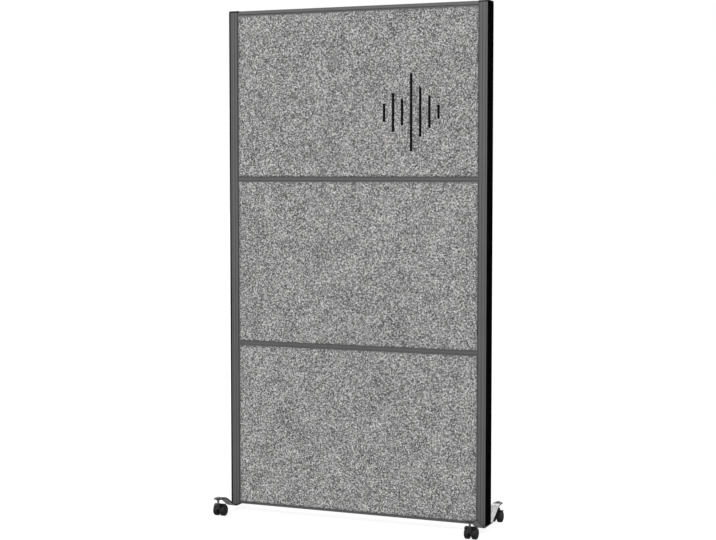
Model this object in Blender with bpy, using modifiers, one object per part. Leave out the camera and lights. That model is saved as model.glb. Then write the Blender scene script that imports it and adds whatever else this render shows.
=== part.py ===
"""A mobile acoustic partition wall: two grooved aluminium uprights and four rails hold three
felt-faced panels, and two bent flat-bar feet carry it on four twin-wheel casters.

Metres, +Z up, +X to the right, the front towards -Y. The origin is on the floor, under the middle.
"""

import math

import bmesh
import bpy
from mathutils import Matrix

MM = 0.001
GAP = 0.3 * MM  # kept between pieces that touch

# Driving dimensions of the wall
WALL_WIDTH = 1000 * MM  # over both cover strips
FRAME_DEPTH = 49 * MM
GROUND_CLEARANCE = 23 * MM  # from the floor to the bottom rail
FIRST_RAIL_TOP = GROUND_CLEARANCE + 611.5 * MM
RAIL_PITCH = 604 * MM
POST_BOTTOM = 22 * MM
CAP_THICKNESS = 5 * MM
CAP_STANDS_ABOVE_RAIL = 1 * MM

# Uprights: u runs inwards from the outer side, v runs from front to back
STRIP_THICKNESS = 6.2 * MM
POST_WIDTH = 32.3 * MM
LIP_WIDTH = 6 * MM  # the set-back lip beside each panel
LIP_SETBACK = 3.5 * MM
LIP_THICKNESS = 2.5 * MM
SLOT_DEPTH = 11.5 * MM  # how far the panel core reaches into the upright
STRIP_NECK = 4.2 * MM  # half the mouth of the channel behind the cover strip
STRIP_NECK_DEPTH = 2.2 * MM
STRIP_CHANNEL = 7 * MM  # half the inner width of that channel
STRIP_CHANNEL_DEPTH = 8 * MM
WEB = 2.4 * MM
WEB_LENGTH = 9.5 * MM  # half the length of the middle chamber
SCREW_PORT_U = 10.8 * MM
SCREW_PORT_V = 15.5 * MM
SCREW_PORT_RADIUS = 2.7 * MM

# Rails
RAIL_HEIGHT = 18.7 * MM
RAIL_RIB = 6 * MM  # height of the rib that is flush with the uprights
RAIL_BLOCK = 9 * MM  # height of the solid middle that holds the screw port
BOTTOM_RAIL_RIB = 4.2 * MM
BOTTOM_RAIL_HEIGHT = 9 * MM
BOTTOM_RAIL_BLOCK = 6.8 * MM
RAIL_PORT_RADIUS = 2.3 * MM
RAIL_SCREW_RADIUS = 2 * MM
RAIL_SCREW_LENGTH = 35 * MM
TENON_DEPTH = 11.2 * MM  # how far a rail's middle reaches into the upright's slot

# Panels
FELT_THICKNESS = 7.5 * MM
FELT_EDGE_RADIUS = 1.8 * MM
CORE_SLACK = 0.5 * MM

# Feet
FOOT_X = 483 * MM
FOOT_WIDTH = 30 * MM
FOOT_THICKNESS = 5 * MM
FOOT_HALF_LENGTH = 172 * MM
FOOT_BEND_START = 36 * MM
FOOT_BEND_END = 145 * MM
FOOT_RISE = 46 * MM
FOOT_CORNER = 7 * MM
FOOT_BEAD_HEIGHT = 1 * MM
FOOT_SCREW_RADIUS = 2.4 * MM
FOOT_SCREW_HEAD = 5.5 * MM

# Casters
STEM_Y = 161.5 * MM
TRAIL = 18 * MM  # from the stem's axis to the wheels' axle
WHEEL_RADIUS = 20.5 * MM
WHEEL_SIDES = 18
WHEEL_INNER = 5.2 * MM  # inner and outer faces of a wheel, from the caster's middle
WHEEL_OUTER = 24 * MM
WHEEL_BORE = 2.65 * MM
AXLE_RADIUS = 2.5 * MM
AXLE_HALF = 20.5 * MM
HOOD_WEB = 4.7 * MM  # half the thickness of the web between the wheels
HOOD_CLEARANCE = 1 * MM
HOOD_THICKNESS = 2 * MM
HOOD_HALF_WIDTH = 21.5 * MM
HOOD_TOP = 46 * MM
STEM_RADIUS = 4 * MM
STEM_PIN_RADIUS = 3 * MM
COLLAR_RADIUS = 6.5 * MM
NUT_ACROSS_FLATS = 13 * MM
NUT_HEIGHT = 3 * MM

# Worked out from those
POST_OUTER = WALL_WIDTH / 2 - STRIP_THICKNESS
FIELD_HALF_WIDTH = POST_OUTER - POST_WIDTH
RAIL_TOPS = [FIRST_RAIL_TOP + i * RAIL_PITCH for i in range(3)]
FRAME_TOP = RAIL_TOPS[-1]
POST_TOP = FRAME_TOP + CAP_STANDS_ABOVE_RAIL - CAP_THICKNESS
LIP_FACE = FRAME_DEPTH / 2 - LIP_SETBACK
CORE_SLOT = LIP_FACE - LIP_THICKNESS  # half the width of the slot for a panel's core
FOOT_TOP = POST_BOTTOM - GAP
PLATE_UNDERSIDE = FOOT_TOP - FOOT_THICKNESS + FOOT_RISE
SIDES = {"left": -1, "right": 1}
ENDS = {"front": -1, "back": 1}

X_TO_Z = Matrix(((0, 0, 1), (1, 0, 0), (0, 1, 0))).to_4x4()  # own axes x, y, z become Y, Z, X

for old in list(bpy.data.objects):
    bpy.data.objects.remove(old)


def new_collection(name):
    collection = bpy.data.collections.new(name)
    bpy.context.scene.collection.children.link(collection)
    return collection


PARTS = new_collection("partition_wall")
CUTTERS = new_collection("cutters")


def material(name, colour, roughness, metallic=0.0):
    made = bpy.data.materials.new(name)
    made.use_nodes = True
    shader = made.node_tree.nodes["Principled BSDF"]
    shader.inputs["Base Color"].default_value = (*colour, 1.0)
    shader.inputs["Roughness"].default_value = roughness
    shader.inputs["Metallic"].default_value = metallic
    return made


ANTHRACITE = material("anthracite_aluminium", (0.13, 0.13, 0.133), 0.45, 0.6)
BLACK = material("black_plastic", (0.006, 0.006, 0.007), 0.45)
FELT = material("grey_felt", (0.28, 0.275, 0.268), 0.95)
CORE = material("panel_core", (0.6, 0.58, 0.52), 0.9)
STEEL = material("satin_steel", (0.55, 0.55, 0.56), 0.3, 1.0)
NYLON = material("black_nylon", (0.02, 0.02, 0.021), 0.4)


def add_object(name, mesh, matrix=None, collection=None):
    made = bpy.data.objects.new(name, mesh)
    made.matrix_world = matrix or Matrix.Identity(4)
    (collection or PARTS).objects.link(made)
    return made


def add_part(name, mesh, finish, matrix=None, parent=None):
    """One named piece. With a parent, matrix places it in the parent's own axes."""
    part = add_object(name, mesh, matrix)
    if not mesh.materials:
        mesh.materials.append(finish)
    if parent:
        part.parent = parent
    return part


def add_cutter(name, mesh, matrix=None):
    cutter = add_object(name, mesh, matrix, CUTTERS)
    cutter.hide_render = True
    cutter.display_type = "WIRE"
    return cutter


def combine(target, other, operation="DIFFERENCE"):
    change = target.modifiers.new(other.name, "BOOLEAN")
    change.operation = operation
    change.object = other


def finished_mesh(source):
    """The object's mesh in world axes with its modifiers applied; the object and its cutters go."""
    bpy.context.view_layer.update()
    evaluated = source.evaluated_get(bpy.context.evaluated_depsgraph_get())
    mesh = bpy.data.meshes.new_from_object(evaluated)
    mesh.transform(source.matrix_world)
    mesh.name = source.name
    cutters = [change.object for change in source.modifiers if change.type == "BOOLEAN"]
    for used in [source, *cutters]:
        bpy.data.objects.remove(used)
    return mesh


def prism(name, loops, length):
    """An outline, with inner loops as holes, drawn out along its own Z either side of its plane."""
    curve = bpy.data.curves.new(name, "CURVE")
    curve.dimensions = "2D"
    curve.fill_mode = "BOTH"
    curve.extrude = length / 2
    for loop in loops:
        spline = curve.splines.new("POLY")
        spline.points.add(len(loop) - 1)
        spline.use_cyclic_u = True
        for point, (x, y) in zip(spline.points, loop):
            point.co = (x, y, 0.0, 1.0)
    mesh = finished_mesh(add_object(name, curve))
    bpy.data.curves.remove(curve)
    shape = bmesh.new()
    shape.from_mesh(mesh)
    bmesh.ops.remove_doubles(shape, verts=shape.verts, dist=1e-6)
    bmesh.ops.recalc_face_normals(shape, faces=shape.faces)
    shape.to_mesh(mesh)
    shape.free()
    return mesh


def cylinders(name, places, radius, length, sides=16, matrix=None, top_radius=None):
    """Upright cylinders, or cones, in one mesh, centred on each place."""
    shape = bmesh.new()
    for x, y, z in places:
        bmesh.ops.create_cone(
            shape,
            cap_ends=True,
            segments=sides,
            radius1=radius,
            radius2=radius if top_radius is None else top_radius,
            depth=length,
            matrix=Matrix.Translation((x, y, z)) @ (matrix or Matrix.Identity(4)),
        )
    mesh = bpy.data.meshes.new(name)
    shape.to_mesh(mesh)
    shape.free()
    return mesh


def block(name, low, high):
    """A box between two corners."""
    shape = bmesh.new()
    bmesh.ops.create_cube(shape, size=1.0)
    for vertex in shape.verts:
        for axis in range(3):
            share = vertex.co[axis] + 0.5
            vertex.co[axis] = low[axis] + share * (high[axis] - low[axis])
    mesh = bpy.data.meshes.new(name)
    shape.to_mesh(mesh)
    shape.free()
    return mesh


def turned(name, profile, sides):
    """A profile of (radius, height) points, from its top down its outer side, turned about Z."""
    mesh = bpy.data.meshes.new(name)
    edges = [(i, i + 1) for i in range(len(profile) - 1)]
    mesh.from_pydata([(r, 0.0, z) for r, z in profile], edges, [])
    source = add_object(name, mesh)
    screw = source.modifiers.new("turn", "SCREW")
    screw.steps = sides
    screw.render_steps = sides
    screw.use_merge_vertices = True
    screw.merge_threshold = 1e-5
    return smooth(finished_mesh(source))


def smooth(mesh, angle=35):
    mesh.shade_smooth()
    mesh.set_sharp_from_angle(angle=math.radians(angle))
    return mesh


def circle(x, y, radius, sides=12):
    angles = [2 * math.pi * i / sides for i in range(sides)]
    return [(x + radius * math.cos(a), y + radius * math.sin(a)) for a in angles]


def rectangle(x0, y0, x1, y1):
    return [(x0, y0), (x1, y0), (x1, y1), (x0, y1)]


def arc(x, y, radius, start, end, steps):
    """Points on an arc about (x, y), from start to end in degrees."""
    angles = [math.radians(start + (end - start) * i / steps) for i in range(steps + 1)]
    return [(x + radius * math.cos(a), y + radius * math.sin(a)) for a in angles]


def smoothstep(t):
    t = min(max(t, 0.0), 1.0)
    return t * t * (3 - 2 * t)


# ---- Uprights -----------------------------------------------------------------------------------


def front_groove(u, width, depth, floor):
    """A groove in the front face, at u, with sloped sides."""
    v = -FRAME_DEPTH / 2
    return [(u - width / 2, v), (u - floor / 2, v + depth), (u + floor / 2, v + depth), (u + width / 2, v)]


def post_loops():
    """The upright's section: its outline, the middle chamber, four pockets and two screw ports."""
    front = -FRAME_DEPTH / 2
    slot_bottom = POST_WIDTH - SLOT_DEPTH
    half = [
        (STRIP_CHANNEL_DEPTH, -STRIP_CHANNEL),
        (STRIP_NECK_DEPTH, -STRIP_CHANNEL),
        (STRIP_NECK_DEPTH, -STRIP_NECK),
        (0, -STRIP_NECK),
        (0, front),
        *front_groove(5.8 * MM, 2.4 * MM, 1.4 * MM, 1.2 * MM),
        *front_groove(17 * MM, 4.2 * MM, 1.8 * MM, 2.8 * MM),
        (POST_WIDTH - LIP_WIDTH, front),
        (POST_WIDTH - LIP_WIDTH, -LIP_FACE),
        (POST_WIDTH, -LIP_FACE),
        (POST_WIDTH, -CORE_SLOT),
        (slot_bottom, -CORE_SLOT),
    ]
    outline = half + [(u, -v) for u, v in reversed(half)]
    chamber = rectangle(STRIP_CHANNEL_DEPTH + WEB, -WEB_LENGTH, slot_bottom - WEB, WEB_LENGTH)
    loops = [outline, chamber]
    for side in (-1, 1):
        near, far = sorted((side * 9.4 * MM, side * 21.3 * MM))
        loops.append(rectangle(2.3 * MM, near, 6.6 * MM, far))
        loops.append(circle(SCREW_PORT_U, side * SCREW_PORT_V, SCREW_PORT_RADIUS))
    return loops


def post_x(side, u):
    """The X of a distance u inwards from an upright's outer side."""
    return side * (POST_OUTER - u)


def rail_screw_heights():
    rails = [top - RAIL_HEIGHT / 2 for top in RAIL_TOPS]
    return [GROUND_CLEARANCE + BOTTOM_RAIL_BLOCK / 2, *rails]


def build_uprights():
    height = POST_TOP - POST_BOTTOM
    middle = (POST_TOP + POST_BOTTOM) / 2
    for name, side in SIDES.items():
        loops = [[(post_x(side, u), v) for u, v in loop] for loop in post_loops()]
        place = Matrix.Translation((0, 0, middle))
        post = add_part(f"{name}_post", prism(f"{name}_post", loops, height), ANTHRACITE, place)
        places = [(post_x(side, 16 * MM), 0, z) for z in rail_screw_heights()]
        turn = Matrix.Rotation(math.pi / 2, 4, "Y")
        holes = cylinders(f"{name}_post_holes", places, RAIL_PORT_RADIUS, 18 * MM, 16, turn)
        combine(post, add_cutter(f"{name}_post_holes", holes))
        build_cover_strip(name, side, height, middle)
        build_top_cap(name, side)


def build_cover_strip(name, side, height, middle):
    """The black strip on an upright's outer side, held by a T-shaped tongue in its channel."""
    half = [
        (4.2 * MM, -STRIP_CHANNEL + 2 * GAP),
        (STRIP_NECK_DEPTH + GAP, -STRIP_CHANNEL + 2 * GAP),
        (STRIP_NECK_DEPTH + GAP, -STRIP_NECK + GAP),
        (-GAP, -STRIP_NECK + GAP),
        (-GAP, -FRAME_DEPTH / 2),
        (-STRIP_THICKNESS + 0.8 * MM, -FRAME_DEPTH / 2),
        (-STRIP_THICKNESS, -FRAME_DEPTH / 2 + 0.8 * MM),
    ]
    outline = half + [(u, -v) for u, v in reversed(half)]
    loop = [(post_x(side, u), v) for u, v in outline]
    mesh = prism(f"{name}_cover_strip", [loop], height)
    add_part(f"{name}_cover_strip", mesh, BLACK, Matrix.Translation((0, 0, middle)))


def build_top_cap(name, side):
    """The black cap on an upright and its strip, with two legs in the upright's chamber."""
    corner = 3 * MM
    outer = -STRIP_THICKNESS
    front = FRAME_DEPTH / 2
    outline = [
        (POST_WIDTH, -front),
        (POST_WIDTH, front),
        *[(u, v) for u, v in arc(outer + corner, front - corner, corner, 90, 180, 5)],
        *[(u, v) for u, v in arc(outer + corner, corner - front, corner, 180, 270, 5)],
    ]
    loop = [(post_x(side, u), v) for u, v in outline]
    thickness = CAP_THICKNESS - GAP
    mesh = prism(f"{name}_top_cap", [loop], thickness)
    cap = add_part(f"{name}_top_cap", mesh, BLACK, Matrix.Translation((0, 0, POST_TOP + GAP + thickness / 2)))
    edges = cap.modifiers.new("edges", "BEVEL")
    edges.width = 0.8 * MM
    edges.segments = 2
    edges.limit_method = "ANGLE"
    edges.angle_limit = math.radians(50)
    xs = sorted((post_x(side, 11 * MM), post_x(side, 18 * MM)))
    for end_name, end in ENDS.items():
        # The two legs pass either side of the top rail's screw.
        ys = sorted((end * 3 * MM, end * 8.5 * MM))
        low = (xs[0], ys[0], POST_TOP - 12 * MM)
        high = (xs[1], ys[1], POST_TOP + 1.5 * MM)
        leg = block(f"{name}_cap_{end_name}_leg", low, high)
        combine(cap, add_cutter(f"{name}_cap_{end_name}_leg", leg), "UNION")


# ---- Rails --------------------------------------------------------------------------------------


def mirrored(half):
    """The whole outline of a section that is the same at the front and the back."""
    return half + [(-y, z) for y, z in reversed(half)]


def pocket(side, inner, outer, low, high):
    """A long chamber in a rail's section, slightly tapered towards the outside."""
    draft = 0.2 * MM
    return [
        (side * inner, low),
        (side * outer, low + draft),
        (side * outer, high - draft),
        (side * inner, high),
    ]


def rail_loops():
    """A rail's section about its middle: flush rib, set-back lips, and a slot above and below."""
    face, rib, block_half, lip = FRAME_DEPTH / 2, RAIL_RIB / 2, RAIL_BLOCK / 2, RAIL_HEIGHT / 2
    ease = 0.5 * MM
    root = rib + 0.15 * MM
    half = [
        (CORE_SLOT, -block_half),
        (CORE_SLOT, -lip),
        (LIP_FACE, -lip),
        (LIP_FACE, -root),
        (face - ease, -rib),
        (face, -rib + ease),
        (face, rib - ease),
        (face - ease, rib),
        (LIP_FACE, root),
        (LIP_FACE, lip),
        (CORE_SLOT, lip),
        (CORE_SLOT, block_half),
    ]
    pockets = [pocket(side, 5.5 * MM, 19.5 * MM, -2.6 * MM, 2.6 * MM) for side in (1, -1)]
    return [mirrored(half), *pockets]


def bottom_rail_loops():
    """The bottom rail's section above its lower edge: one slot, which opens upwards."""
    face = FRAME_DEPTH / 2
    half = [
        (face - 0.5 * MM, 0),
        (face, 0.5 * MM),
        (face, BOTTOM_RAIL_RIB),
        (LIP_FACE, BOTTOM_RAIL_RIB),
        (LIP_FACE, BOTTOM_RAIL_HEIGHT),
        (CORE_SLOT, BOTTOM_RAIL_HEIGHT),
        (CORE_SLOT, BOTTOM_RAIL_BLOCK),
    ]
    pockets = [pocket(side, 5.5 * MM, 18.5 * MM, 1.4 * MM, 5.4 * MM) for side in (1, -1)]
    return [mirrored(half), *pockets]


def build_rail(name, loops, bottom, port_height, tenon_half):
    """A rail between the uprights, whose middle reaches into their slots as a tenon, with a
    screw port along its whole length."""
    half_length = FIELD_HALF_WIDTH - GAP
    mesh = prism(name, loops, 2 * half_length)
    rail = add_part(name, mesh, ANTHRACITE, Matrix.Translation((0, 0, bottom)) @ X_TO_Z)
    depth = CORE_SLOT - GAP
    reach = FIELD_HALF_WIDTH + TENON_DEPTH
    middle = bottom + port_height
    for side_name, side in SIDES.items():
        inner, outer = sorted((side * (half_length - 2 * MM), side * reach))
        low = (inner, -depth, middle - tenon_half)
        high = (outer, depth, middle + tenon_half)
        tenon = block(f"{name}_{side_name}_tenon", low, high)
        combine(rail, add_cutter(f"{name}_{side_name}_tenon", tenon), "UNION")
    turn = Matrix.Rotation(math.pi / 2, 4, "Y")
    length = 2 * reach + 10 * MM
    port = cylinders(f"{name}_port", [(0, 0, middle)], RAIL_PORT_RADIUS, length, 16, turn)
    combine(rail, add_cutter(f"{name}_port", port))


def build_rails():
    names = ("lower_mid_rail", "upper_mid_rail", "top_rail")
    for name, top in zip(names, RAIL_TOPS):
        build_rail(name, rail_loops(), top - RAIL_HEIGHT / 2, 0, 3.9 * MM)
    middle = BOTTOM_RAIL_BLOCK / 2
    build_rail("bottom_rail", bottom_rail_loops(), GROUND_CLEARANCE, middle, 3.1 * MM)


def screw_mesh(name, radius, length, head_radius, head_height):
    """A pan-head screw along -Z, its head's underside at the origin, with a hexagon socket."""
    profile = [
        (0, head_height),
        (head_radius * 0.7, head_height),
        (head_radius, head_height * 0.5),
        (head_radius, 0),
        (radius, 0),
        (radius, -length + 0.8 * MM),
        (radius - 0.8 * MM, -length),
        (0, -length),
    ]
    screw = add_object(name, turned(name + "_turned", profile, 10))
    socket = cylinders(name + "_socket", [(0, 0, head_height)], head_radius * 0.5, head_height * 1.2, 6)
    combine(screw, add_cutter(name + "_socket", socket))
    return finished_mesh(screw)


def build_rail_screws():
    """One screw at each end of each rail, put in from the channel behind the cover strip."""
    mesh = screw_mesh("rail_screw", RAIL_SCREW_RADIUS, RAIL_SCREW_LENGTH, 4.2 * MM, 2.6 * MM)
    names = ("bottom_rail", "lower_mid_rail", "upper_mid_rail", "top_rail")
    for rail, z in zip(names, rail_screw_heights()):
        for name, side in SIDES.items():
            x = post_x(side, STRIP_CHANNEL_DEPTH - GAP)
            turn = Matrix.Rotation(side * math.pi / 2, 4, "Y")
            add_part(f"{rail}_{name}_screw", mesh, STEEL, Matrix.Translation((x, 0, z)) @ turn)


# ---- Panels -------------------------------------------------------------------------------------


def build_panels():
    """Three panels: a stiff core, held in the slots of the frame, with felt on both its faces."""
    slot = (RAIL_HEIGHT - RAIL_BLOCK) / 2
    bottoms = [GROUND_CLEARANCE + BOTTOM_RAIL_HEIGHT, RAIL_TOPS[0], RAIL_TOPS[1]]
    lower_slots = [BOTTOM_RAIL_HEIGHT - BOTTOM_RAIL_BLOCK, slot, slot]
    tops = [top - RAIL_HEIGHT for top in RAIL_TOPS]
    core_x = FIELD_HALF_WIDTH + SLOT_DEPTH - 3 * CORE_SLACK
    core_y = CORE_SLOT - GAP
    for name, bottom, top, lower in zip(("lower", "middle", "upper"), bottoms, tops, lower_slots):
        low = (-core_x, -core_y, bottom - lower + CORE_SLACK)
        high = (core_x, core_y, top + slot - CORE_SLACK)
        add_part(f"{name}_core", block(f"{name}_core", low, high), CORE)
        for face, side in ENDS.items():
            ys = sorted((side * CORE_SLOT, side * (CORE_SLOT + FELT_THICKNESS)))
            low = (-FIELD_HALF_WIDTH + GAP, ys[0], bottom + GAP)
            high = (FIELD_HALF_WIDTH - GAP, ys[1], top - GAP)
            piece = f"{name}_{face}_felt"
            felt = add_part(piece, block(piece, low, high), FELT)
            edges = felt.modifiers.new("soft_edges", "BEVEL")
            edges.width = FELT_EDGE_RADIUS
            edges.segments = 2


# ---- Feet ---------------------------------------------------------------------------------------


def foot_stations():
    """Where the foot's mesh has rows, from its middle to its end."""
    bend = [FOOT_BEND_START + (FOOT_BEND_END - FOOT_BEND_START) * i / 11 for i in range(12)]
    start = FOOT_HALF_LENGTH - FOOT_CORNER
    end = [start + FOOT_CORNER * math.sin(math.radians(a)) for a in (0, 35, 65, 90)]
    half = bend + end
    return [-y for y in reversed(half)] + half


def foot_half_width(y):
    """Half the foot's width, which narrows in a round corner at each end."""
    past = abs(y) - (FOOT_HALF_LENGTH - FOOT_CORNER)
    if past <= 0:
        return FOOT_WIDTH / 2
    return FOOT_WIDTH / 2 - FOOT_CORNER + math.sqrt(max(FOOT_CORNER**2 - past**2, 0.0))


def foot_height(y):
    """The height of the foot's middle surface."""
    rise = smoothstep((abs(y) - FOOT_BEND_START) / (FOOT_BEND_END - FOOT_BEND_START))
    return FOOT_TOP - FOOT_THICKNESS / 2 + FOOT_RISE * rise


def bead_height(x, y):
    """A pressed bead along the middle of each sloping arm."""
    along = smoothstep((abs(y) - 50 * MM) / (20 * MM)) * smoothstep((140 * MM - abs(y)) / (20 * MM))
    across = smoothstep((4.5 * MM - abs(x)) / (4.5 * MM))
    return FOOT_BEAD_HEIGHT * along * across


def foot_mesh():
    stations = foot_stations()
    columns = [-1.0, -0.3, 0.0, 0.3, 1.0]
    shape = bmesh.new()
    rows, places = len(stations) - 1, len(columns) - 1
    bmesh.ops.create_grid(shape, x_segments=places, y_segments=rows, size=1.0)
    for vertex in shape.verts:
        y = stations[round((vertex.co.y + 1) / 2 * rows)]
        x = columns[round((vertex.co.x + 1) / 2 * places)] * foot_half_width(y)
        vertex.co = (x, y, foot_height(y) + bead_height(x, y))
    mesh = bpy.data.meshes.new("foot_sheet")
    shape.to_mesh(mesh)
    shape.free()
    foot = add_object("foot", mesh)
    plate = foot.modifiers.new("plate", "SOLIDIFY")
    plate.thickness = FOOT_THICKNESS
    plate.offset = 0
    plate.use_even_offset = True
    stems = [(0, side * STEM_Y, PLATE_UNDERSIDE) for side in (-1, 1)]
    screws = [(0, side * SCREW_PORT_V, FOOT_TOP) for side in (-1, 1)]
    sinks = [(0, side * SCREW_PORT_V, FOOT_TOP - FOOT_THICKNESS + 1 * MM) for side in (-1, 1)]
    holes = (
        ("stem_holes", cylinders("stem_holes", stems, STEM_RADIUS + GAP, 20 * MM)),
        ("screw_holes", cylinders("screw_holes", screws, FOOT_SCREW_RADIUS + GAP, 20 * MM)),
        ("countersinks", cylinders("countersinks", sinks, 6.7 * MM, 4 * MM, top_radius=2.7 * MM)),
    )
    for name, cutter in holes:
        combine(foot, add_cutter(name, cutter))
    return smooth(finished_mesh(foot), 50)


def countersunk_screw():
    """A countersunk screw along +Z, its flat head level with the origin, with a hexagon socket."""
    cone = 2.7 * MM
    length = 26 * MM
    profile = [
        (0, length),
        (FOOT_SCREW_RADIUS - 0.7 * MM, length),
        (FOOT_SCREW_RADIUS, length - 0.7 * MM),
        (FOOT_SCREW_RADIUS, cone),
        (FOOT_SCREW_HEAD - 0.3 * MM, 0),
        (0, 0),
    ]
    screw = add_object("foot_screw", turned("foot_screw_turned", profile, 16))
    socket = cylinders("foot_screw_socket", [(0, 0, 0)], 2.2 * MM, 3.6 * MM, 6)
    combine(screw, add_cutter("foot_screw_socket", socket))
    return finished_mesh(screw)


def build_feet():
    foot = foot_mesh()
    screw = countersunk_screw()
    underside = FOOT_TOP - FOOT_THICKNESS + GAP
    for name, side in SIDES.items():
        add_part(f"{name}_foot", foot, STEEL, Matrix.Translation((side * FOOT_X, 0, 0)))
        for end_name, end in ENDS.items():
            place = Matrix.Translation((side * FOOT_X, end * SCREW_PORT_V, underside))
            add_part(f"{name}_foot_{end_name}_screw", screw, STEEL, place)


# ---- Casters ------------------------------------------------------------------------------------
# Each is modelled about its stem's axis, with the wheels trailing towards +Y.


def hood_mesh():
    """The caster's body: a curved guard over both wheels, a web between them and the stem's boss."""
    inner = WHEEL_RADIUS + HOOD_CLEARANCE
    outer = inner + HOOD_THICKNESS
    guard_start, guard_end = 72, 130  # degrees about the axle, from the trailing side over the top
    band = arc(TRAIL, WHEEL_RADIUS, outer, guard_start, guard_end, 8)
    band += arc(TRAIL, WHEEL_RADIUS, inner, guard_end, guard_start, 8)
    hood = add_object("hood", prism("hood_guard", [band], 2 * HOOD_HALF_WIDTH), X_TO_Z)
    soften = hood.modifiers.new("shoulders", "BEVEL")
    soften.width = 1 * MM
    soften.segments = 1
    soften.limit_method = "ANGLE"
    soften.angle_limit = math.radians(50)
    boss_low = 27 * MM
    boss_length = HOOD_TOP - boss_low
    middle = (0, 0, boss_low + boss_length / 2)
    boss = add_object("hood_boss", cylinders("boss", [middle], 8.5 * MM, boss_length, 14, None, 7.5 * MM))
    turn = Matrix.Rotation(math.pi / 2, 4, "Y")
    sides = [(side * (HOOD_WEB + 10 * MM), TRAIL, WHEEL_RADIUS) for side in (-1, 1)]
    room = cylinders("wheel_room", sides, inner + HOOD_THICKNESS / 3, 20 * MM, 32, turn)
    combine(boss, add_cutter("wheel_room", room))
    combine(hood, add_cutter("hood_boss", finished_mesh(boss)), "UNION")
    overlap = inner + HOOD_THICKNESS / 2
    web = arc(TRAIL, WHEEL_RADIUS, overlap, guard_start, 165, 8)
    web += arc(TRAIL, WHEEL_RADIUS, 11.5 * MM, 215, 380, 8)
    combine(hood, add_cutter("hood_web", prism("hood_web", [web], 2 * HOOD_WEB), X_TO_Z), "UNION")
    bore_low = 30 * MM
    bore_length = HOOD_TOP - bore_low + 2 * MM
    bore = cylinders("hood_bore", [(0, 0, bore_low + bore_length / 2)], STEM_PIN_RADIUS + GAP / 2, bore_length, 14)
    combine(hood, add_cutter("hood_bore", bore))
    axle_hole = cylinders("axle_hole", [(0, TRAIL, WHEEL_RADIUS)], AXLE_RADIUS + GAP, 30 * MM, 14, turn)
    combine(hood, add_cutter("axle_hole", axle_hole))
    return smooth(finished_mesh(hood))


def stem_mesh():
    """The caster's stem: a pin in the hood, a shank, and a collar under the foot's plate."""
    top = PLATE_UNDERSIDE + FOOT_THICKNESS + GAP + NUT_HEIGHT + 1 * MM
    collar_top = PLATE_UNDERSIDE - GAP
    profile = [
        (0, top),
        (STEM_RADIUS - 0.7 * MM, top),
        (STEM_RADIUS, top - 0.7 * MM),
        (STEM_RADIUS, collar_top),
        (COLLAR_RADIUS, collar_top),
        (COLLAR_RADIUS, collar_top - 3 * MM),
        (STEM_RADIUS, collar_top - 3.5 * MM),
        (STEM_RADIUS, HOOD_TOP + GAP),
        (STEM_PIN_RADIUS, HOOD_TOP + GAP),
        (STEM_PIN_RADIUS, 30.5 * MM),
        (0, 30.5 * MM),
    ]
    return turned("caster_stem", profile, 14)


def wheel_mesh():
    """One wheel about its own Z, its inner face down, with a blind bore that opens inwards."""
    corner_radius = WHEEL_RADIUS / math.cos(math.pi / WHEEL_SIDES)
    bore_end = WHEEL_OUTER - 2 * MM
    profile = [
        (0, WHEEL_OUTER),
        (corner_radius * 0.6, WHEEL_OUTER - 0.5 * MM),
        (corner_radius * 0.9, WHEEL_OUTER - 2 * MM),
        (corner_radius, WHEEL_OUTER - 4.5 * MM),
        (corner_radius, WHEEL_INNER + 1.5 * MM),
        (corner_radius * 0.93, WHEEL_INNER),
        (WHEEL_BORE, WHEEL_INNER),
        (WHEEL_BORE, bore_end),
        (0, bore_end),
    ]
    return turned("wheel", profile, WHEEL_SIDES)


def hexagon(radius):
    return circle(0, 0, radius, 6)


def build_casters():
    hood, stem, wheel = hood_mesh(), stem_mesh(), wheel_mesh()
    axle = cylinders("caster_axle", [(0, 0, 0)], AXLE_RADIUS, 2 * AXLE_HALF, 12)
    nut_radius = NUT_ACROSS_FLATS / 2 / math.cos(math.pi / 6)
    nut = prism("caster_nut", [hexagon(nut_radius), circle(0, 0, STEM_RADIUS + GAP)], NUT_HEIGHT)
    nut_height = PLATE_UNDERSIDE + FOOT_THICKNESS + GAP + NUT_HEIGHT / 2
    quarter = Matrix.Rotation(math.pi / 2, 4, "Y")
    # Half a side's turn puts one flat of the faceted tread on the floor.
    level = Matrix.Rotation(math.pi / WHEEL_SIDES, 4, "Z")
    for side_name, side in SIDES.items():
        for end_name, end in ENDS.items():
            name = f"{end_name}_{side_name}"
            swivel = bpy.data.objects.new(f"{name}_swivel_axis", None)
            PARTS.objects.link(swivel)
            swivel.location = (side * FOOT_X, end * STEM_Y, 0)
            swivel.rotation_euler = (0, 0, math.pi if end > 0 else 0)
            add_part(f"{name}_caster_stem", stem, STEEL, None, swivel)
            add_part(f"{name}_caster_nut", nut, STEEL, Matrix.Translation((0, 0, nut_height)), swivel)
            add_part(f"{name}_caster_hood", hood, NYLON, None, swivel)
            middle = Matrix.Translation((0, TRAIL, WHEEL_RADIUS))
            add_part(f"{name}_caster_axle", axle, STEEL, middle @ quarter, swivel)
            for wheel_name, wheel_side in SIDES.items():
                # A back caster is turned round, so its own -X side is the wall's right.
                turn = middle @ Matrix.Rotation(wheel_side * -end * math.pi / 2, 4, "Y") @ level
                add_part(f"{name}_{wheel_name}_wheel", wheel, NYLON, turn, swivel)


build_uprights()
build_rails()
build_rail_screws()
build_panels()
build_feet()
build_casters()
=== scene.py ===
"""The finished look of the partition wall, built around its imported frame. Metres, as the frame."""

import math

import bmesh
import bpy
from mathutils import Matrix, Vector, noise


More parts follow.
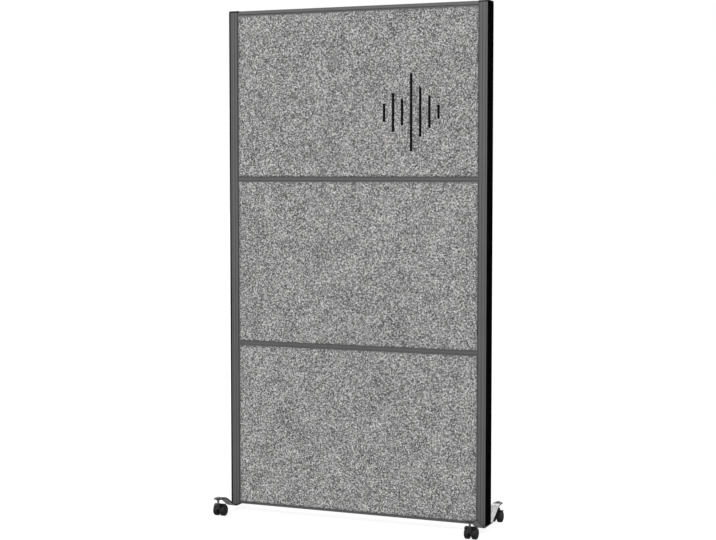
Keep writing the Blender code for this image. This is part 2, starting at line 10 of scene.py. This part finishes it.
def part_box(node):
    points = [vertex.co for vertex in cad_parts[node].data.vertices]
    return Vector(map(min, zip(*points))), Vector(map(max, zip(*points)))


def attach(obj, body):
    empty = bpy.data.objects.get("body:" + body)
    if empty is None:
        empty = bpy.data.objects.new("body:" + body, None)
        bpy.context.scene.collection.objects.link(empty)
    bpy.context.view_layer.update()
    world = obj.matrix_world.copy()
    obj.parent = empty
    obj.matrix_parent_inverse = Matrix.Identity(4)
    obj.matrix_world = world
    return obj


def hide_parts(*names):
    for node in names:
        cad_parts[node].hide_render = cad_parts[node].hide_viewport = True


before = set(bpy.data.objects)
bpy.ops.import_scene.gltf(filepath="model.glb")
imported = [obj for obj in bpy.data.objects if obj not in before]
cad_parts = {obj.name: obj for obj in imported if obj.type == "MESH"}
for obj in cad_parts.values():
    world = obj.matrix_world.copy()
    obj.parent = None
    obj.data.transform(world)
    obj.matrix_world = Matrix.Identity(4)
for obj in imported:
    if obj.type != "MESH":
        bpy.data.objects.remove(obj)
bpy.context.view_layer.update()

MM = 0.001
SIDES = {"left": -1, "right": 1}
ENDS = {"front": -1, "back": 1}
PANELS = ("lower", "middle", "upper")

FELT_WIDTH = 922 * MM
FELT_HEIGHT = 585 * MM
FELT_SHADE_WIDTH = 8 * MM  # how far in from its edge the painted shade on a felt reaches
FELT_SHADE = 0.72  # the share of light that painted shade leaves at the very edge

# The casters, as the frame has them
FOOT_X = 483 * MM
STEM_Y = 161.5 * MM
TRAIL = 18 * MM  # from the stem's axis to the wheels' axle
WHEEL_RADIUS = 20.5 * MM

# ---- Camera -------------------------------------------------------------------------------------

CAMERA_PLACE = (2.14344, -5.14055, 1.24578)
CAMERA_AZIMUTH = 22.61  # degrees round from the front, towards the right
CAMERA_PITCH = 3.51  # degrees above the level
CAMERA_LENS = 78.04
CAMERA_SENSOR = 36
STUDIO_RADIUS = 45  # of the white dome that ends the view


def build_camera():
    azimuth, pitch = math.radians(CAMERA_AZIMUTH), math.radians(CAMERA_PITCH)
    level = Vector((math.sin(azimuth), -math.cos(azimuth), 0)) * math.cos(pitch)
    back = level + Vector((0, 0, math.sin(pitch)))
    right = Vector((math.cos(azimuth), math.sin(azimuth), 0))
    data = bpy.data.cameras.new("camera")
    data.lens = CAMERA_LENS
    data.sensor_width = CAMERA_SENSOR
    data.clip_end = 5 * STUDIO_RADIUS
    camera = bpy.data.objects.new("camera", data)
    turn = Matrix((right, back.cross(right), back)).transposed().to_4x4()
    camera.matrix_world = Matrix.Translation(CAMERA_PLACE) @ turn
    bpy.context.scene.collection.objects.link(camera)
    bpy.context.scene.camera = camera


build_camera()

# ---- Materials ----------------------------------------------------------------------------------


class Nodes:
    """A material's node tree, with short ways to add to it."""

    def __init__(self, name):
        self.material = bpy.data.materials.new(name)
        self.material.use_nodes = True
        self.tree = self.material.node_tree
        self.shader = self.tree.nodes["Principled BSDF"]
        self.place = self.add("ShaderNodeTexCoord").outputs["Object"]

    def add(self, kind, inputs=None, **settings):
        made = self.tree.nodes.new(kind)
        for key, value in settings.items():
            setattr(made, key, value)
        for key, value in (inputs or {}).items():
            self.feed(made.inputs[key], value)
        return made

    def feed(self, socket, value):
        if isinstance(value, bpy.types.NodeSocket):
            self.tree.links.new(value, socket)
        else:
            socket.default_value = value

    def set(self, **values):
        for key, value in values.items():
            self.feed(self.shader.inputs[key.replace("_", " ")], value)

    def scaled(self, factors):
        """The place on the object, with each axis stretched by a factor."""
        return self.add("ShaderNodeVectorMath", {0: self.place, 1: factors}, operation="MULTIPLY").outputs[0]

    def noise(self, scale, detail=2.0, roughness=0.5, distortion=0.0, place=None):
        inputs = {
            "Vector": place or self.place,
            "Scale": scale,
            "Detail": detail,
            "Roughness": roughness,
            "Distortion": distortion,
        }
        return self.add("ShaderNodeTexNoise", inputs).outputs["Fac"]

    def maths(self, operation, a, b=0.0, c=0.0, clamp=False):
        made = self.add("ShaderNodeMath", operation=operation, use_clamp=clamp)
        for socket, value in zip(made.inputs, (a, b, c)):
            self.feed(socket, value)
        return made.outputs[0]

    def swing(self, value, amount, onto):
        """onto, raised by amount times how far value is above a half."""
        return self.maths("MULTIPLY_ADD", self.maths("SUBTRACT", value, 0.5), amount, onto)

    def dimmed(self, colour, share):
        return self.add("ShaderNodeVectorMath", {0: colour, 3: share}, operation="SCALE").outputs[0]

    def remap(self, value, low, high, to_low=0.0, to_high=1.0):
        inputs = {"Value": value, "From Min": low, "From Max": high, "To Min": to_low, "To Max": to_high}
        return self.add("ShaderNodeMapRange", inputs, interpolation_type="SMOOTHSTEP").outputs[0]

    def ramp(self, value, stops):
        made = self.add("ShaderNodeValToRGB", {"Fac": value})
        elements = made.color_ramp.elements
        while len(elements) < len(stops):
            elements.new(0.5)
        for element, (position, colour) in zip(elements, stops):
            element.position = position
            element.color = (*colour, 1.0)
        return made.outputs["Color"]

    def bump(self, height, distance, strength=1.0):
        inputs = {"Height": height, "Distance": distance, "Strength": strength}
        self.set(Normal=self.add("ShaderNodeBump", inputs).outputs[0])


def grey(value, warmth=0.0):
    return (value * (1 + warmth), value, value * (1 - warmth))


def edge_distance(made):
    """How far a place on a felt is from the nearest edge of the sheet."""
    parts = made.add("ShaderNodeSeparateXYZ", {0: made.add("ShaderNodeTexCoord").outputs["Generated"]})
    distances = []
    for axis, length in (("X", FELT_WIDTH), ("Z", FELT_HEIGHT)):
        from_middle = made.maths("ABSOLUTE", made.maths("SUBTRACT", parts.outputs[axis], 0.5))
        distances.append(made.maths("MULTIPLY", made.maths("SUBTRACT", 0.5, from_middle), length))
    return made.maths("MINIMUM", *distances)


def felt_material():
    """Pressed marl felt: clumps of light and dark fibre, thin curled fibres over them, soft clouds."""
    made = Nodes("marl_felt")
    clumps = made.noise(205, 2.5, 0.62, 0.6)
    fine = made.noise(520, 3.0, 0.7, 0.4)
    clouds = made.noise(17, 2.0, 0.5)
    value = made.swing(clumps, 3.3, 0.5)
    value = made.swing(fine, 1.7, value)
    value = made.swing(clouds, 0.3, value)
    for scale, width, share in ((150, 0.018, 0.34), (240, 0.02, 0.28), (95, 0.012, -0.4)):
        curl = made.noise(scale, 1.0, 0.4, 1.6)
        line = made.maths("ABSOLUTE", made.maths("SUBTRACT", curl, 0.5))
        value = made.maths("MULTIPLY_ADD", made.remap(line, width, 0.0), share, value)
    colour = made.ramp(
        value,
        (
            (0.0, grey(0.045, 0.004)),
            (0.28, grey(0.117, 0.006)),
            (0.5, grey(0.219, 0.008)),
            (0.74, grey(0.39, 0.007)),
            (1.0, grey(0.74, 0.006)),
        ),
    )
    # Painted shade: each felt darkens towards its edges, where it meets the frame
    shade = made.remap(edge_distance(made), 0.0, FELT_SHADE_WIDTH, FELT_SHADE, 1.0)
    made.set(Base_Color=made.dimmed(colour, shade), Roughness=0.95, Specular_IOR_Level=0.15)
    made.set(Sheen_Weight=0.12, Sheen_Roughness=0.5)
    made.bump(made.maths("MULTIPLY_ADD", fine, 0.6, value), 0.5 * MM, 0.55)
    return made.material


def coated_material(name, stretch, tone):
    """A fine matt coat on an extrusion: faint draw lines along it, an orange-peel grain."""
    made = Nodes(name)
    lines = made.noise(1.0, 3.0, 0.6, 0.0, made.scaled(stretch))
    grain = made.noise(1500, 2.0, 0.6)
    patches = made.noise(9, 2.0, 0.5)
    value = made.swing(lines, 0.5, 0.5)
    value = made.swing(grain, 0.45, value)
    value = made.swing(patches, 0.35, value)
    stops = ((0.0, grey(tone * 0.76)), (0.5, grey(tone, 0.002)), (1.0, grey(tone * 1.3, 0.002)))
    colour = made.ramp(value, stops)
    rough = made.remap(value, 0.1, 0.9, 0.44, 0.3)
    made.set(Base_Color=colour, Metallic=0.15, Roughness=rough, Specular_IOR_Level=0.65)
    made.bump(made.maths("MULTIPLY_ADD", lines, 0.5, grain), 0.06 * MM, 0.5)
    return made.material


def moulded_material(name, dark, light, rough, specular, scale=700):
    """Moulded plastic with a fine spark-eroded grain."""
    made = Nodes(name)
    grain = made.noise(scale, 3.0, 0.65)
    patches = made.noise(35, 2.0, 0.5)
    value = made.swing(patches, 0.6, grain)
    made.set(Base_Color=made.ramp(value, ((0.25, grey(dark)), (0.8, grey(light)))))
    made.set(Roughness=made.remap(grain, 0.3, 0.7, rough - 0.06, rough + 0.06), Specular_IOR_Level=specular)
    made.bump(grain, 0.05 * MM, 0.5)
    return made.material


def steel_material(name, painted_side_shade):
    """Satin zinc-plated steel with faint rolling lines and clouded patches; painted shade on upright sides.
    """
    made = Nodes(name)
    lines = made.noise(1.0, 4.0, 0.6, 0.0, made.scaled((900, 14, 900)))
    clouds = made.noise(60, 3.0, 0.6, 0.8)
    value = made.swing(lines, 0.5, clouds)
    colour = made.ramp(value, ((0.25, grey(0.26)), (0.75, grey(0.37))))
    # Painted shade: faces that point neither up nor down are darkened to the given share
    facing = made.add("ShaderNodeSeparateXYZ", {0: made.add("ShaderNodeTexCoord").outputs["Normal"]})
    shade = made.remap(made.maths("ABSOLUTE", facing.outputs["Z"]), 0.3, 0.6, painted_side_shade, 1.0)
    made.set(Base_Color=made.dimmed(colour, shade))
    made.set(Metallic=0.96, Roughness=made.remap(value, 0.2, 0.8, 0.24, 0.36))
    made.bump(lines, 0.03 * MM, 0.4)
    return made.material


def core_material():
    """Pressed fibre board, seen only where the felt stops."""
    made = Nodes("fibre_board")
    fibres = made.noise(300, 4.0, 0.7, 1.0)
    made.set(Base_Color=made.ramp(fibres, ((0.3, grey(0.2, 0.02)), (0.7, grey(0.34, 0.02)))), Roughness=0.95)
    made.bump(fibres, 0.2 * MM, 0.5)
    return made.material


FELT = felt_material()
POST_COAT = coated_material("anthracite_post", (1300, 1300, 6), 0.088)
RAIL_COAT = coated_material("anthracite_rail", (6, 1300, 1300), 0.095)
BLACK = moulded_material("black_strip", 0.001, 0.004, 0.6, 0.0, 250)
CAP = moulded_material("black_cap", 0.002, 0.006, 0.6, 0.02)
NYLON = moulded_material("black_nylon_moulding", 0.004, 0.01, 0.36, 0.36, 900)
TREAD = moulded_material("black_tread", 0.005, 0.012, 0.5, 0.3, 500)
# The number is the share of colour that painted shade leaves on the steel's upright faces
BAR = steel_material("satin_zinc_bar", 0.14)
STEEL = steel_material("satin_zinc_fittings", 0.5)
CORE = core_material()
INK = moulded_material("matt_ink", 0.002, 0.006, 0.75, 0.1, 300)

# ---- The frame's own nodes ----------------------------------------------------------------------


def soften(piece, width):
    """Welds a node's split corners and rounds its edges, as the real ones are."""
    weld = piece.modifiers.new("weld", "WELD")
    weld.merge_threshold = 0.01 * MM
    edges = piece.modifiers.new("edges", "BEVEL")
    edges.width = width
    edges.segments = 2
    edges.limit_method = "ANGLE"
    edges.angle_limit = math.radians(30)
    even = piece.modifiers.new("even", "WEIGHTED_NORMAL")
    even.keep_sharp = True


# How a node's name ends, its material, and how far its edges are rounded
FINISHES = (
    ("_post", POST_COAT, 0.25 * MM),
    ("_rail", RAIL_COAT, 0.3 * MM),
    ("_strip", BLACK, 0.2 * MM),
    ("_cap", CAP, 0),
    ("_foot", BAR, 0.5 * MM),
    ("_core", CORE, 0.2 * MM),
    ("_screw", STEEL, 0.15 * MM),
    ("_axle", STEEL, 0.3 * MM),
    ("_stem", STEEL, 0),
    ("_nut", STEEL, 0),
    ("_hood", NYLON, 0),
    ("_wheel", NYLON, 0),
    ("_felt", FELT, 0),
)


def finish_nodes():
    for name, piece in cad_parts.items():
        for ending, material, edge in FINISHES:
            if name.endswith(ending):
                for slot in piece.material_slots:
                    slot.material = material
                if edge:
                    soften(piece, edge)


finish_nodes()

# ---- Making pieces ------------------------------------------------------------------------------


def add_piece(name, mesh, material, body):
    """A visible piece of one material, riding on a body."""
    mesh.name = name
    mesh.materials.clear()
    mesh.materials.append(material)
    piece = bpy.data.objects.new(name, mesh)
    bpy.context.scene.collection.objects.link(piece)
    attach(piece, body)
    return piece


def mesh_of(shape, smooth_angle=None):
    """A bmesh as a mesh, smooth where its faces meet at less than smooth_angle degrees."""
    mesh = bpy.data.meshes.new("shape")
    shape.to_mesh(mesh)
    shape.free()
    if smooth_angle:
        mesh.shade_smooth()
        mesh.set_sharp_from_angle(angle=math.radians(smooth_angle))
    return mesh


def turned(profile, sides, matrix=None):
    """A closed profile of (radius, height) points turned about Z, its first and last on the axis."""
    shape = bmesh.new()
    rings = []
    for radius, height in profile:
        if radius == 0:
            rings.append([shape.verts.new((0, 0, height))])
            continue
        angles = [2 * math.pi * i / sides for i in range(sides)]
        rings.append([shape.verts.new((radius * math.cos(a), radius * math.sin(a), height)) for a in angles])
    for upper, lower in zip(rings, rings[1:]):
        for i in range(sides):
            j = (i + 1) % sides
            if len(upper) == 1:
                shape.faces.new((upper[0], lower[i], lower[j]))
            elif len(lower) == 1:
                shape.faces.new((upper[i], lower[0], upper[j]))
            else:
                shape.faces.new((upper[i], lower[i], lower[j], upper[j]))
    bmesh.ops.recalc_face_normals(shape, faces=shape.faces)
    if matrix:
        shape.transform(matrix)
    return shape


def drawn(outline, length, matrix=None):
    """A flat outline drawn out along Z, either side of its plane."""
    shape = bmesh.new()
    ends = [[shape.verts.new((x, y, z)) for x, y in outline] for z in (-length / 2, length / 2)]
    shape.faces.new(reversed(ends[0]))
    shape.faces.new(ends[1])
    count = len(outline)
    for i in range(count):
        j = (i + 1) % count
        shape.faces.new((ends[0][i], ends[0][j], ends[1][j], ends[1][i]))
    bmesh.ops.recalc_face_normals(shape, faces=shape.faces)
    if matrix:
        shape.transform(matrix)
    return shape


# ---- Felts --------------------------------------------------------------------------------------

FELT_STEP = 7 * MM  # the grid of a felt's face
FELT_ROUNDING = 1.2 * MM  # how far in from its edge the felt turns down
FELT_TURN = 1.6 * MM  # how far it turns down there
FELT_RELIEF = 0.28 * MM  # how far its face is out of true
FELT_FADE = 5 * MM  # how far in from its edge that begins in full


def felt_drop(distance):
    """How far the face is behind the middle's plane, at a distance in from the nearest edge."""
    inside = min(distance / FELT_ROUNDING, 1.0)
    return FELT_TURN * (1 - math.sqrt(max(1 - (1 - inside) ** 2, 0.0)))


def spread(low, high, step, edge):
    """Places from low to high, closer together near both ends."""
    near = [edge * share for share in (0, 0.06, 0.18, 0.36, 0.6, 1.0)]
    inner_low, inner_high = low + edge, high - edge
    count = max(int((inner_high - inner_low) / step), 1)
    inner = [inner_low + (inner_high - inner_low) * i / count for i in range(1, count)]
    return [low + x for x in near] + inner + [high - x for x in reversed(near)]


def felt_mesh(low, high, side, seed):
    """A felt sheet that fills a node's box, its face towards side and its edges turned down."""
    xs = spread(low[0], high[0], FELT_STEP, FELT_ROUNDING)
    zs = spread(low[2], high[2], FELT_STEP, FELT_ROUNDING)
    back, face = (high[1], low[1]) if side < 0 else (low[1], high[1])
    shape = bmesh.new()
    fronts, backs = [], []
    for x in xs:
        front_row, back_row = [], []
        for z in zs:
            near_x = min(x - low[0], high[0] - x)
            near_z = min(z - low[2], high[2] - z)
            drop = max(felt_drop(near_x), felt_drop(near_z))
            relief = noise.fractal(Vector((x * 14, z * 14, seed)), 0.7, 2.0, 3) * FELT_RELIEF
            relief += noise.noise(Vector((x * 90, z * 90, seed))) * FELT_RELIEF * 0.5
            y = face - side * (drop + FELT_RELIEF + relief * min(near_x, near_z, FELT_FADE) / FELT_FADE)
            front_row.append(shape.verts.new((x, y, z)))
            back_row.append(shape.verts.new((x, back, z)))
        fronts.append(front_row)
        backs.append(back_row)
    for i in range(len(xs) - 1):
        for j in range(len(zs) - 1):
            for rows in (fronts, backs):
                shape.faces.new((rows[i][j], rows[i + 1][j], rows[i + 1][j + 1], rows[i][j + 1]))
    last_x, last_z = len(xs) - 1, len(zs) - 1
    rim = [(i, 0) for i in range(last_x)] + [(last_x, j) for j in range(last_z)]
    rim += [(i, last_z) for i in range(last_x, 0, -1)] + [(0, j) for j in range(last_z, 0, -1)]
    for (i, j), (m, n) in zip(rim, rim[1:] + rim[:1]):
        shape.faces.new((fronts[i][j], fronts[m][n], backs[m][n], backs[i][j]))
    bmesh.ops.recalc_face_normals(shape, faces=shape.faces)
    return mesh_of(shape, 60)


def build_felts():
    seed = 3.0
    for panel in PANELS:
        for end, side in ENDS.items():
            node = f"{panel}_{end}_felt"
            low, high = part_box(node)
            felt = add_piece(f"{node}_sheet", felt_mesh(low, high, side, seed), FELT, "frame")
            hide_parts(node)
            seed += 7.3


build_felts()

# ---- Sound sign ----------------------------------------------------------------------------------

STROKE = 9.3 * MM
INK_THICKNESS = 0.35 * MM
SIGN_X = 215 * MM  # the middle of the sign
SIGN_Z = 1465 * MM
SIGN_PITCH = 34 * MM
SIGN_BARS = (64, 136, 92, 272, 172, 112, 48)  # their heights in millimetres


def sign_outlines():
    """A row of upright bars of unlike heights, the common sign for a sound level."""
    found = []
    for i, height in enumerate(SIGN_BARS):
        x = SIGN_X + (i - (len(SIGN_BARS) - 1) / 2) * SIGN_PITCH
        left, right = x - STROKE / 2, x + STROKE / 2
        low, high = SIGN_Z - height * MM / 2, SIGN_Z + height * MM / 2
        found.append([(left, low), (left, high), (right, high), (right, low)])
    return found


def build_sign():
    """The bars as thin printed film on the upper front felt."""
    low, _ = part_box("upper_front_felt")
    face = low[1] + FELT_RELIEF
    stand = Matrix(((1, 0, 0, 0), (0, 0, 1, face), (0, 1, 0, 0), (0, 0, 0, 1)))
    whole = bmesh.new()
    for outline in sign_outlines():
        mesh = mesh_of(drawn(outline, 2 * INK_THICKNESS, stand))
        whole.from_mesh(mesh)
        bpy.data.meshes.remove(mesh)
    bmesh.ops.recalc_face_normals(whole, faces=whole.faces)
    add_piece("sound_sign", mesh_of(whole), INK, "frame")


build_sign()

# ---- Casters ------------------------------------------------------------------------------------

WHEEL_INNER = 5.2 * MM  # the inner and outer faces of a wheel, from the caster's middle
WHEEL_OUTER = 24 * MM
GUARD_WIDTH = 43 * MM
WEB_THICKNESS = 9.4 * MM
NUT_ACROSS = 13 * MM
MOULDED_EDGE = 0.45 * MM  # how far the edges of the body and the nut are rounded
SMOOTH_ANGLE = 40

# Profiles are in millimetres, and so are these
HOOD_TOP = 46
BOSS_LOW = 27.0
PLATE_LOW = 62.7
STEM_RADIUS = 4.0
PIN_RADIUS = 3.0
COLLAR_RADIUS = 6.5
AXLE_HOLE_RADIUS = 2.85
ROOM_RADIUS = 22.2  # of the room that the boss leaves each wheel
ROOM_MIDDLE = 14.7

QUARTER = Matrix.Rotation(math.pi / 2, 4, "Y")


def wheel_shape():
    """One wheel about Z, its inner face down: crowned tread, rim, recessed disc and hub cap."""
    outer, inner, radius = WHEEL_OUTER / MM, WHEEL_INNER / MM, WHEEL_RADIUS / MM
    profile = [
        (0, outer - 0.1),
        (4.2, outer - 0.2),
        (5.6, outer - 0.7),
        (6.1, outer - 1.5),
        (6.9, outer - 1.6),
        (7.4, outer - 1.0),
        (12.6, outer - 1.1),
        (15.6, outer - 1.7),
        (16.2, outer - 2.1),
        (16.6, outer - 1.9),
        (radius - 1.9, outer - 2.8),
        (radius - 0.8, outer - 4.0),
        (radius - 0.15, outer - 5.4),
        (radius, outer - 7.0),
        (radius, outer - 9.3),
        (radius - 0.3, outer - 9.5),
        (radius - 0.3, outer - 9.8),
        (radius, outer - 10.0),
        (radius, inner + 2.2),
        (radius - 0.4, inner + 0.8),
        (radius - 1.4, inner + 0.1),
        (radius - 2.4, inner),
        (2.65, inner),
        (2.65, outer - 2.4),
        (0, outer - 2.4),
    ]
    return turned([(r * MM, h * MM) for r, h in profile], 72)


def arc(radius, start, end, steps):
    """Points on an arc about the axle, in the (y, z) of the caster, from start to end in degrees."""
    angles = [math.radians(start + (end - start) * i / steps) for i in range(steps + 1)]
    return [(TRAIL + radius * math.cos(a), WHEEL_RADIUS + radius * math.sin(a)) for a in angles]


def placed(mesh, name):
    """A mesh as an object of the scene, for the modifiers that use it up."""
    made = bpy.data.objects.new(name, mesh)
    bpy.context.scene.collection.objects.link(made)
    return made


def solid(shape, name):
    return placed(mesh_of(shape), name)


def round_solid(profile, sides, name, place=None):
    """A solid turned from a profile in millimetres."""
    return solid(turned([(r * MM, h * MM) for r, h in profile], sides, place), name)


def combined(base, others, rounded=True):
    """base with others joined on or taken away, as one mesh; each of others is (object, operation)."""
    for other, operation in others:
        change = base.modifiers.new(other.name, "BOOLEAN")
        change.operation = operation
        change.object = other
    if rounded:
        edges = base.modifiers.new("edges", "BEVEL")
        edges.width = MOULDED_EDGE
        edges.segments = 2
        edges.limit_method = "ANGLE"
        edges.angle_limit = math.radians(SMOOTH_ANGLE)
    bpy.context.view_layer.update()
    mesh = bpy.data.meshes.new_from_object(base.evaluated_get(bpy.context.evaluated_depsgraph_get()))
    for used in [base] + [other for other, _ in others]:
        bpy.data.objects.remove(used)
    if rounded:
        mesh.shade_smooth()
        mesh.set_sharp_from_angle(angle=math.radians(SMOOTH_ANGLE))
    return mesh


def hood_mesh():
    """The caster's body: guard, web, boss and axle bosses, about the stem's axis."""
    to_x = Matrix(((0, 0, 1, 0), (1, 0, 0, 0), (0, 1, 0, 0), (0, 0, 0, 1)))
    inner, outer = WHEEL_RADIUS + 1 * MM, WHEEL_RADIUS + 3 * MM
    band = arc(outer, 72, 130, 28) + arc(inner, 130, 72, 28)
    guard = solid(drawn(band, GUARD_WIDTH, to_x), "guard")
    web = arc(WHEEL_RADIUS + 2 * MM, 72, 165, 30) + arc(11.5 * MM, 215, 380, 24)
    web = solid(drawn(web, WEB_THICKNESS, to_x), "web")
    profile = [(0, HOOD_TOP), (7.0, HOOD_TOP), (7.5, HOOD_TOP - 0.5)]
    profile += [(8.5, BOSS_LOW + 0.6), (8.0, BOSS_LOW), (0, BOSS_LOW)]
    boss = round_solid(profile, 40, "boss")
    profile = [(0, 10), (ROOM_RADIUS, 10), (ROOM_RADIUS, -10), (0, -10)]
    room = []
    for side in (-1, 1):
        place = Matrix.Translation((side * ROOM_MIDDLE * MM, TRAIL, WHEEL_RADIUS)) @ QUARTER
        room.append((round_solid(profile, 90, f"room{side}", place), "DIFFERENCE"))
    boss = placed(combined(boss, room, rounded=False), "boss")
    radius = PIN_RADIUS + 0.16
    bore = round_solid([(0, 60), (radius, 60), (radius, 30), (0, 30)], 32, "bore")
    place = Matrix.Translation((0, TRAIL, WHEEL_RADIUS)) @ QUARTER
    profile = [(0, 15), (AXLE_HOLE_RADIUS, 15), (AXLE_HOLE_RADIUS, -15), (0, -15)]
    axle_hole = round_solid(profile, 32, "axle_hole", place)
    parts = [(web, "UNION"), (boss, "UNION"), (bore, "DIFFERENCE"), (axle_hole, "DIFFERENCE")]
    return combined(guard, parts)


def stem_mesh(bottom, top, plate_low):
    """The stem: pin, shank, collar under the plate, and a thread above it."""
    profile = [(0, top), (STEM_RADIUS - 0.9, top), (STEM_RADIUS - 0.15, top - 0.7)]
    height = top - 1.0
    root = STEM_RADIUS - 0.45
    while height > plate_low + 0.6:
        profile += [(STEM_RADIUS, height), (root, height - 0.35), (root, height - 0.45)]
        height -= 0.8
    profile += [
        (STEM_RADIUS, plate_low),
        (COLLAR_RADIUS - 0.3, plate_low),
        (COLLAR_RADIUS, plate_low - 0.3),
        (COLLAR_RADIUS, plate_low - 2.6),
        (COLLAR_RADIUS - 0.4, plate_low - 3.0),
        (STEM_RADIUS, plate_low - 3.4),
        (STEM_RADIUS, HOOD_TOP + 0.7),
        (STEM_RADIUS - 0.3, HOOD_TOP + 0.3),
        (PIN_RADIUS, HOOD_TOP + 0.3),
        (PIN_RADIUS, bottom + 0.4),
        (PIN_RADIUS - 0.4, bottom),
        (0, bottom),
    ]
    return mesh_of(turned([(r * MM, h * MM) for r, h in profile], 32), 30)


def nut_mesh(low, high):
    """A hexagon nut with turned-down corners and a countersunk bore."""
    corner = NUT_ACROSS / 2 / math.cos(math.pi / 6)
    angles = [math.pi / 3 * i + math.radians(12) for i in range(6)]
    hexagon = [(corner * math.cos(a), corner * math.sin(a)) for a in angles]
    nut = solid(drawn(hexagon, high - low), "nut")
    nut.data.transform(Matrix.Translation((0, 0, (low + high) / 2)))
    profile = [(0, 0.5), (4.45, 0.5), (4.25, 0.2), (4.25, -20.5), (0, -20.5)]
    bore = solid(turned([(r * MM, high + h * MM) for r, h in profile], 32), "nut_bore")
    profile = [(0, high), (NUT_ACROSS / 2 - 0.2 * MM, high), (corner, high - 0.8 * MM)]
    profile += [(corner, low), (0, low)]
    cone = solid(turned(profile, 48), "nut_cone")
    return combined(nut, [(cone, "INTERSECT"), (bore, "DIFFERENCE")])


def build_casters():
    """The four casters, all alike, with those at the back turned half round."""
    low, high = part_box("front_left_caster_stem")
    hood = hood_mesh()
    stem = stem_mesh(low[2] / MM + 0.05, high[2] / MM - 0.02, PLATE_LOW - 0.3)
    nut_low, nut_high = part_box("front_left_caster_nut")
    nut = nut_mesh(nut_low[2], nut_high[2])
    wheel = mesh_of(wheel_shape(), 32)
    for side_name, side in SIDES.items():
        for end_name, end in ENDS.items():
            caster = f"{end_name}_{side_name}_caster"
            place = Matrix.Translation((side * FOOT_X, end * STEM_Y, 0))
            if end > 0:
                place = place @ Matrix.Rotation(math.pi, 4, "Z")
            for part, source, material, body, slot in (
                ("hood", hood, NYLON, caster, "black_nylon"),
                ("stem", stem, STEEL, "frame", "satin_steel"),
                ("nut", nut, STEEL, "frame", "satin_steel"),
            ):
                mesh = source.copy()
                mesh.transform(place)
                piece = add_piece(f"{caster}_{part}_detail", mesh, material, body)
                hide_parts(f"{caster}_{part}")
            for wheel_name, wheel_side in SIDES.items():
                mesh = wheel.copy()
                middle = Matrix.Translation((0, TRAIL, WHEEL_RADIUS))
                turn = middle @ Matrix.Rotation(wheel_side * -end * math.pi / 2, 4, "Y")
                mesh.transform(place @ turn)
                name = f"{end_name}_{side_name}_{wheel_name}_wheel"
                piece = add_piece(f"{name}_detail", mesh, TREAD, f"{name}_body")
                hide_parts(name)


build_casters()

# ---- Surroundings -------------------------------------------------------------------------------

SKY = 1.34  # brightness of the studio's white surroundings
GROUND = 0.3  # what undersides see
BACK_SHADE = 0.75  # how far up the darker surroundings reach behind the object


def build_world():
    """White surroundings above, darker ones below and low down behind the object."""
    world = bpy.data.worlds.new("studio")
    bpy.context.scene.world = world
    world.use_nodes = True
    tree = world.node_tree
    place = tree.nodes.new("ShaderNodeTexCoord")
    parts = tree.nodes.new("ShaderNodeSeparateXYZ")
    behind = tree.nodes.new("ShaderNodeMath")
    behind.operation = "MULTIPLY"
    behind.use_clamp = True
    behind.inputs[1].default_value = BACK_SHADE
    height = tree.nodes.new("ShaderNodeMath")
    height.operation = "SUBTRACT"
    share = tree.nodes.new("ShaderNodeMapRange")
    share.interpolation_type = "SMOOTHSTEP"
    for socket, value in (("From Min", -0.3), ("From Max", -0.02), ("To Min", GROUND), ("To Max", SKY)):
        share.inputs[socket].default_value = value
    tree.links.new(place.outputs["Generated"], parts.inputs[0])
    tree.links.new(parts.outputs["Y"], behind.inputs[0])
    tree.links.new(parts.outputs["Z"], height.inputs[0])
    tree.links.new(behind.outputs[0], height.inputs[1])
    tree.links.new(height.outputs[0], share.inputs["Value"])
    tree.links.new(share.outputs[0], tree.nodes["Background"].inputs["Strength"])
    tree.nodes["Background"].inputs["Color"].default_value = (1, 1, 1, 1)


def add_stage(name, shape, material):
    """A piece of the studio that the camera sees and the object doesn't."""
    mesh = mesh_of(shape)
    mesh.materials.append(material)
    piece = bpy.data.objects.new(name, mesh)
    piece.visible_diffuse = False
    piece.visible_glossy = False
    bpy.context.scene.collection.objects.link(piece)
    return piece


def build_floor():
    shape = bmesh.new()
    bmesh.ops.create_grid(shape, x_segments=1, y_segments=1, size=4 / 3 * STUDIO_RADIUS)
    made = Nodes("pale_floor")
    tone = made.noise(0.8, 2.0, 0.5)
    made.set(Base_Color=made.ramp(tone, ((0.0, grey(0.17)), (1.0, grey(0.19)))), Roughness=0.9)
    made.set(Specular_IOR_Level=0.0, Emission_Color=(1, 1, 1, 1), Emission_Strength=0.86)
    floor = add_stage("floor", shape, made.material)
    floor.location.z = -0.05 * MM


def build_backdrop():
    shape = bmesh.new()
    bmesh.ops.create_uvsphere(shape, u_segments=48, v_segments=24, radius=STUDIO_RADIUS)
    made = Nodes("white_backdrop")
    made.set(Base_Color=(0, 0, 0, 1), Specular_IOR_Level=0.0)
    made.set(Emission_Color=(1, 1, 1, 1), Emission_Strength=1.0)
    backdrop = add_stage("backdrop", shape, made.material)
    backdrop.visible_shadow = False


def add_softbox(name, place, aim, size, power):
    """An area light at place, turned to aim, that the camera doesn't see."""
    data = bpy.data.lights.new(name, "AREA")
    data.shape = "RECTANGLE"
    data.size, data.size_y = size
    data.energy = power
    light = bpy.data.objects.new(name, data)
    light.location = place
    light.rotation_euler = (Vector(aim) - Vector(place)).to_track_quat("-Z", "Y").to_euler()
    light.visible_camera = False
    bpy.context.scene.collection.objects.link(light)


build_world()
build_floor()
build_backdrop()
add_softbox("front_softbox", (0.3, -4.2, 3.8), (0, 0, 1.2), (3.0, 2.0), 22)
add_softbox("top_softbox", (0, 0, 4.4), (0, 0, 0), (3.0, 3.0), 30)
add_softbox("back_softbox", (-0.3, 4.2, 3.8), (0, 0, 1.2), (3.0, 2.0), 30)
bpy.context.scene.view_settings.view_transform = "Standard"
bpy.context.scene.view_settings.look = "None"
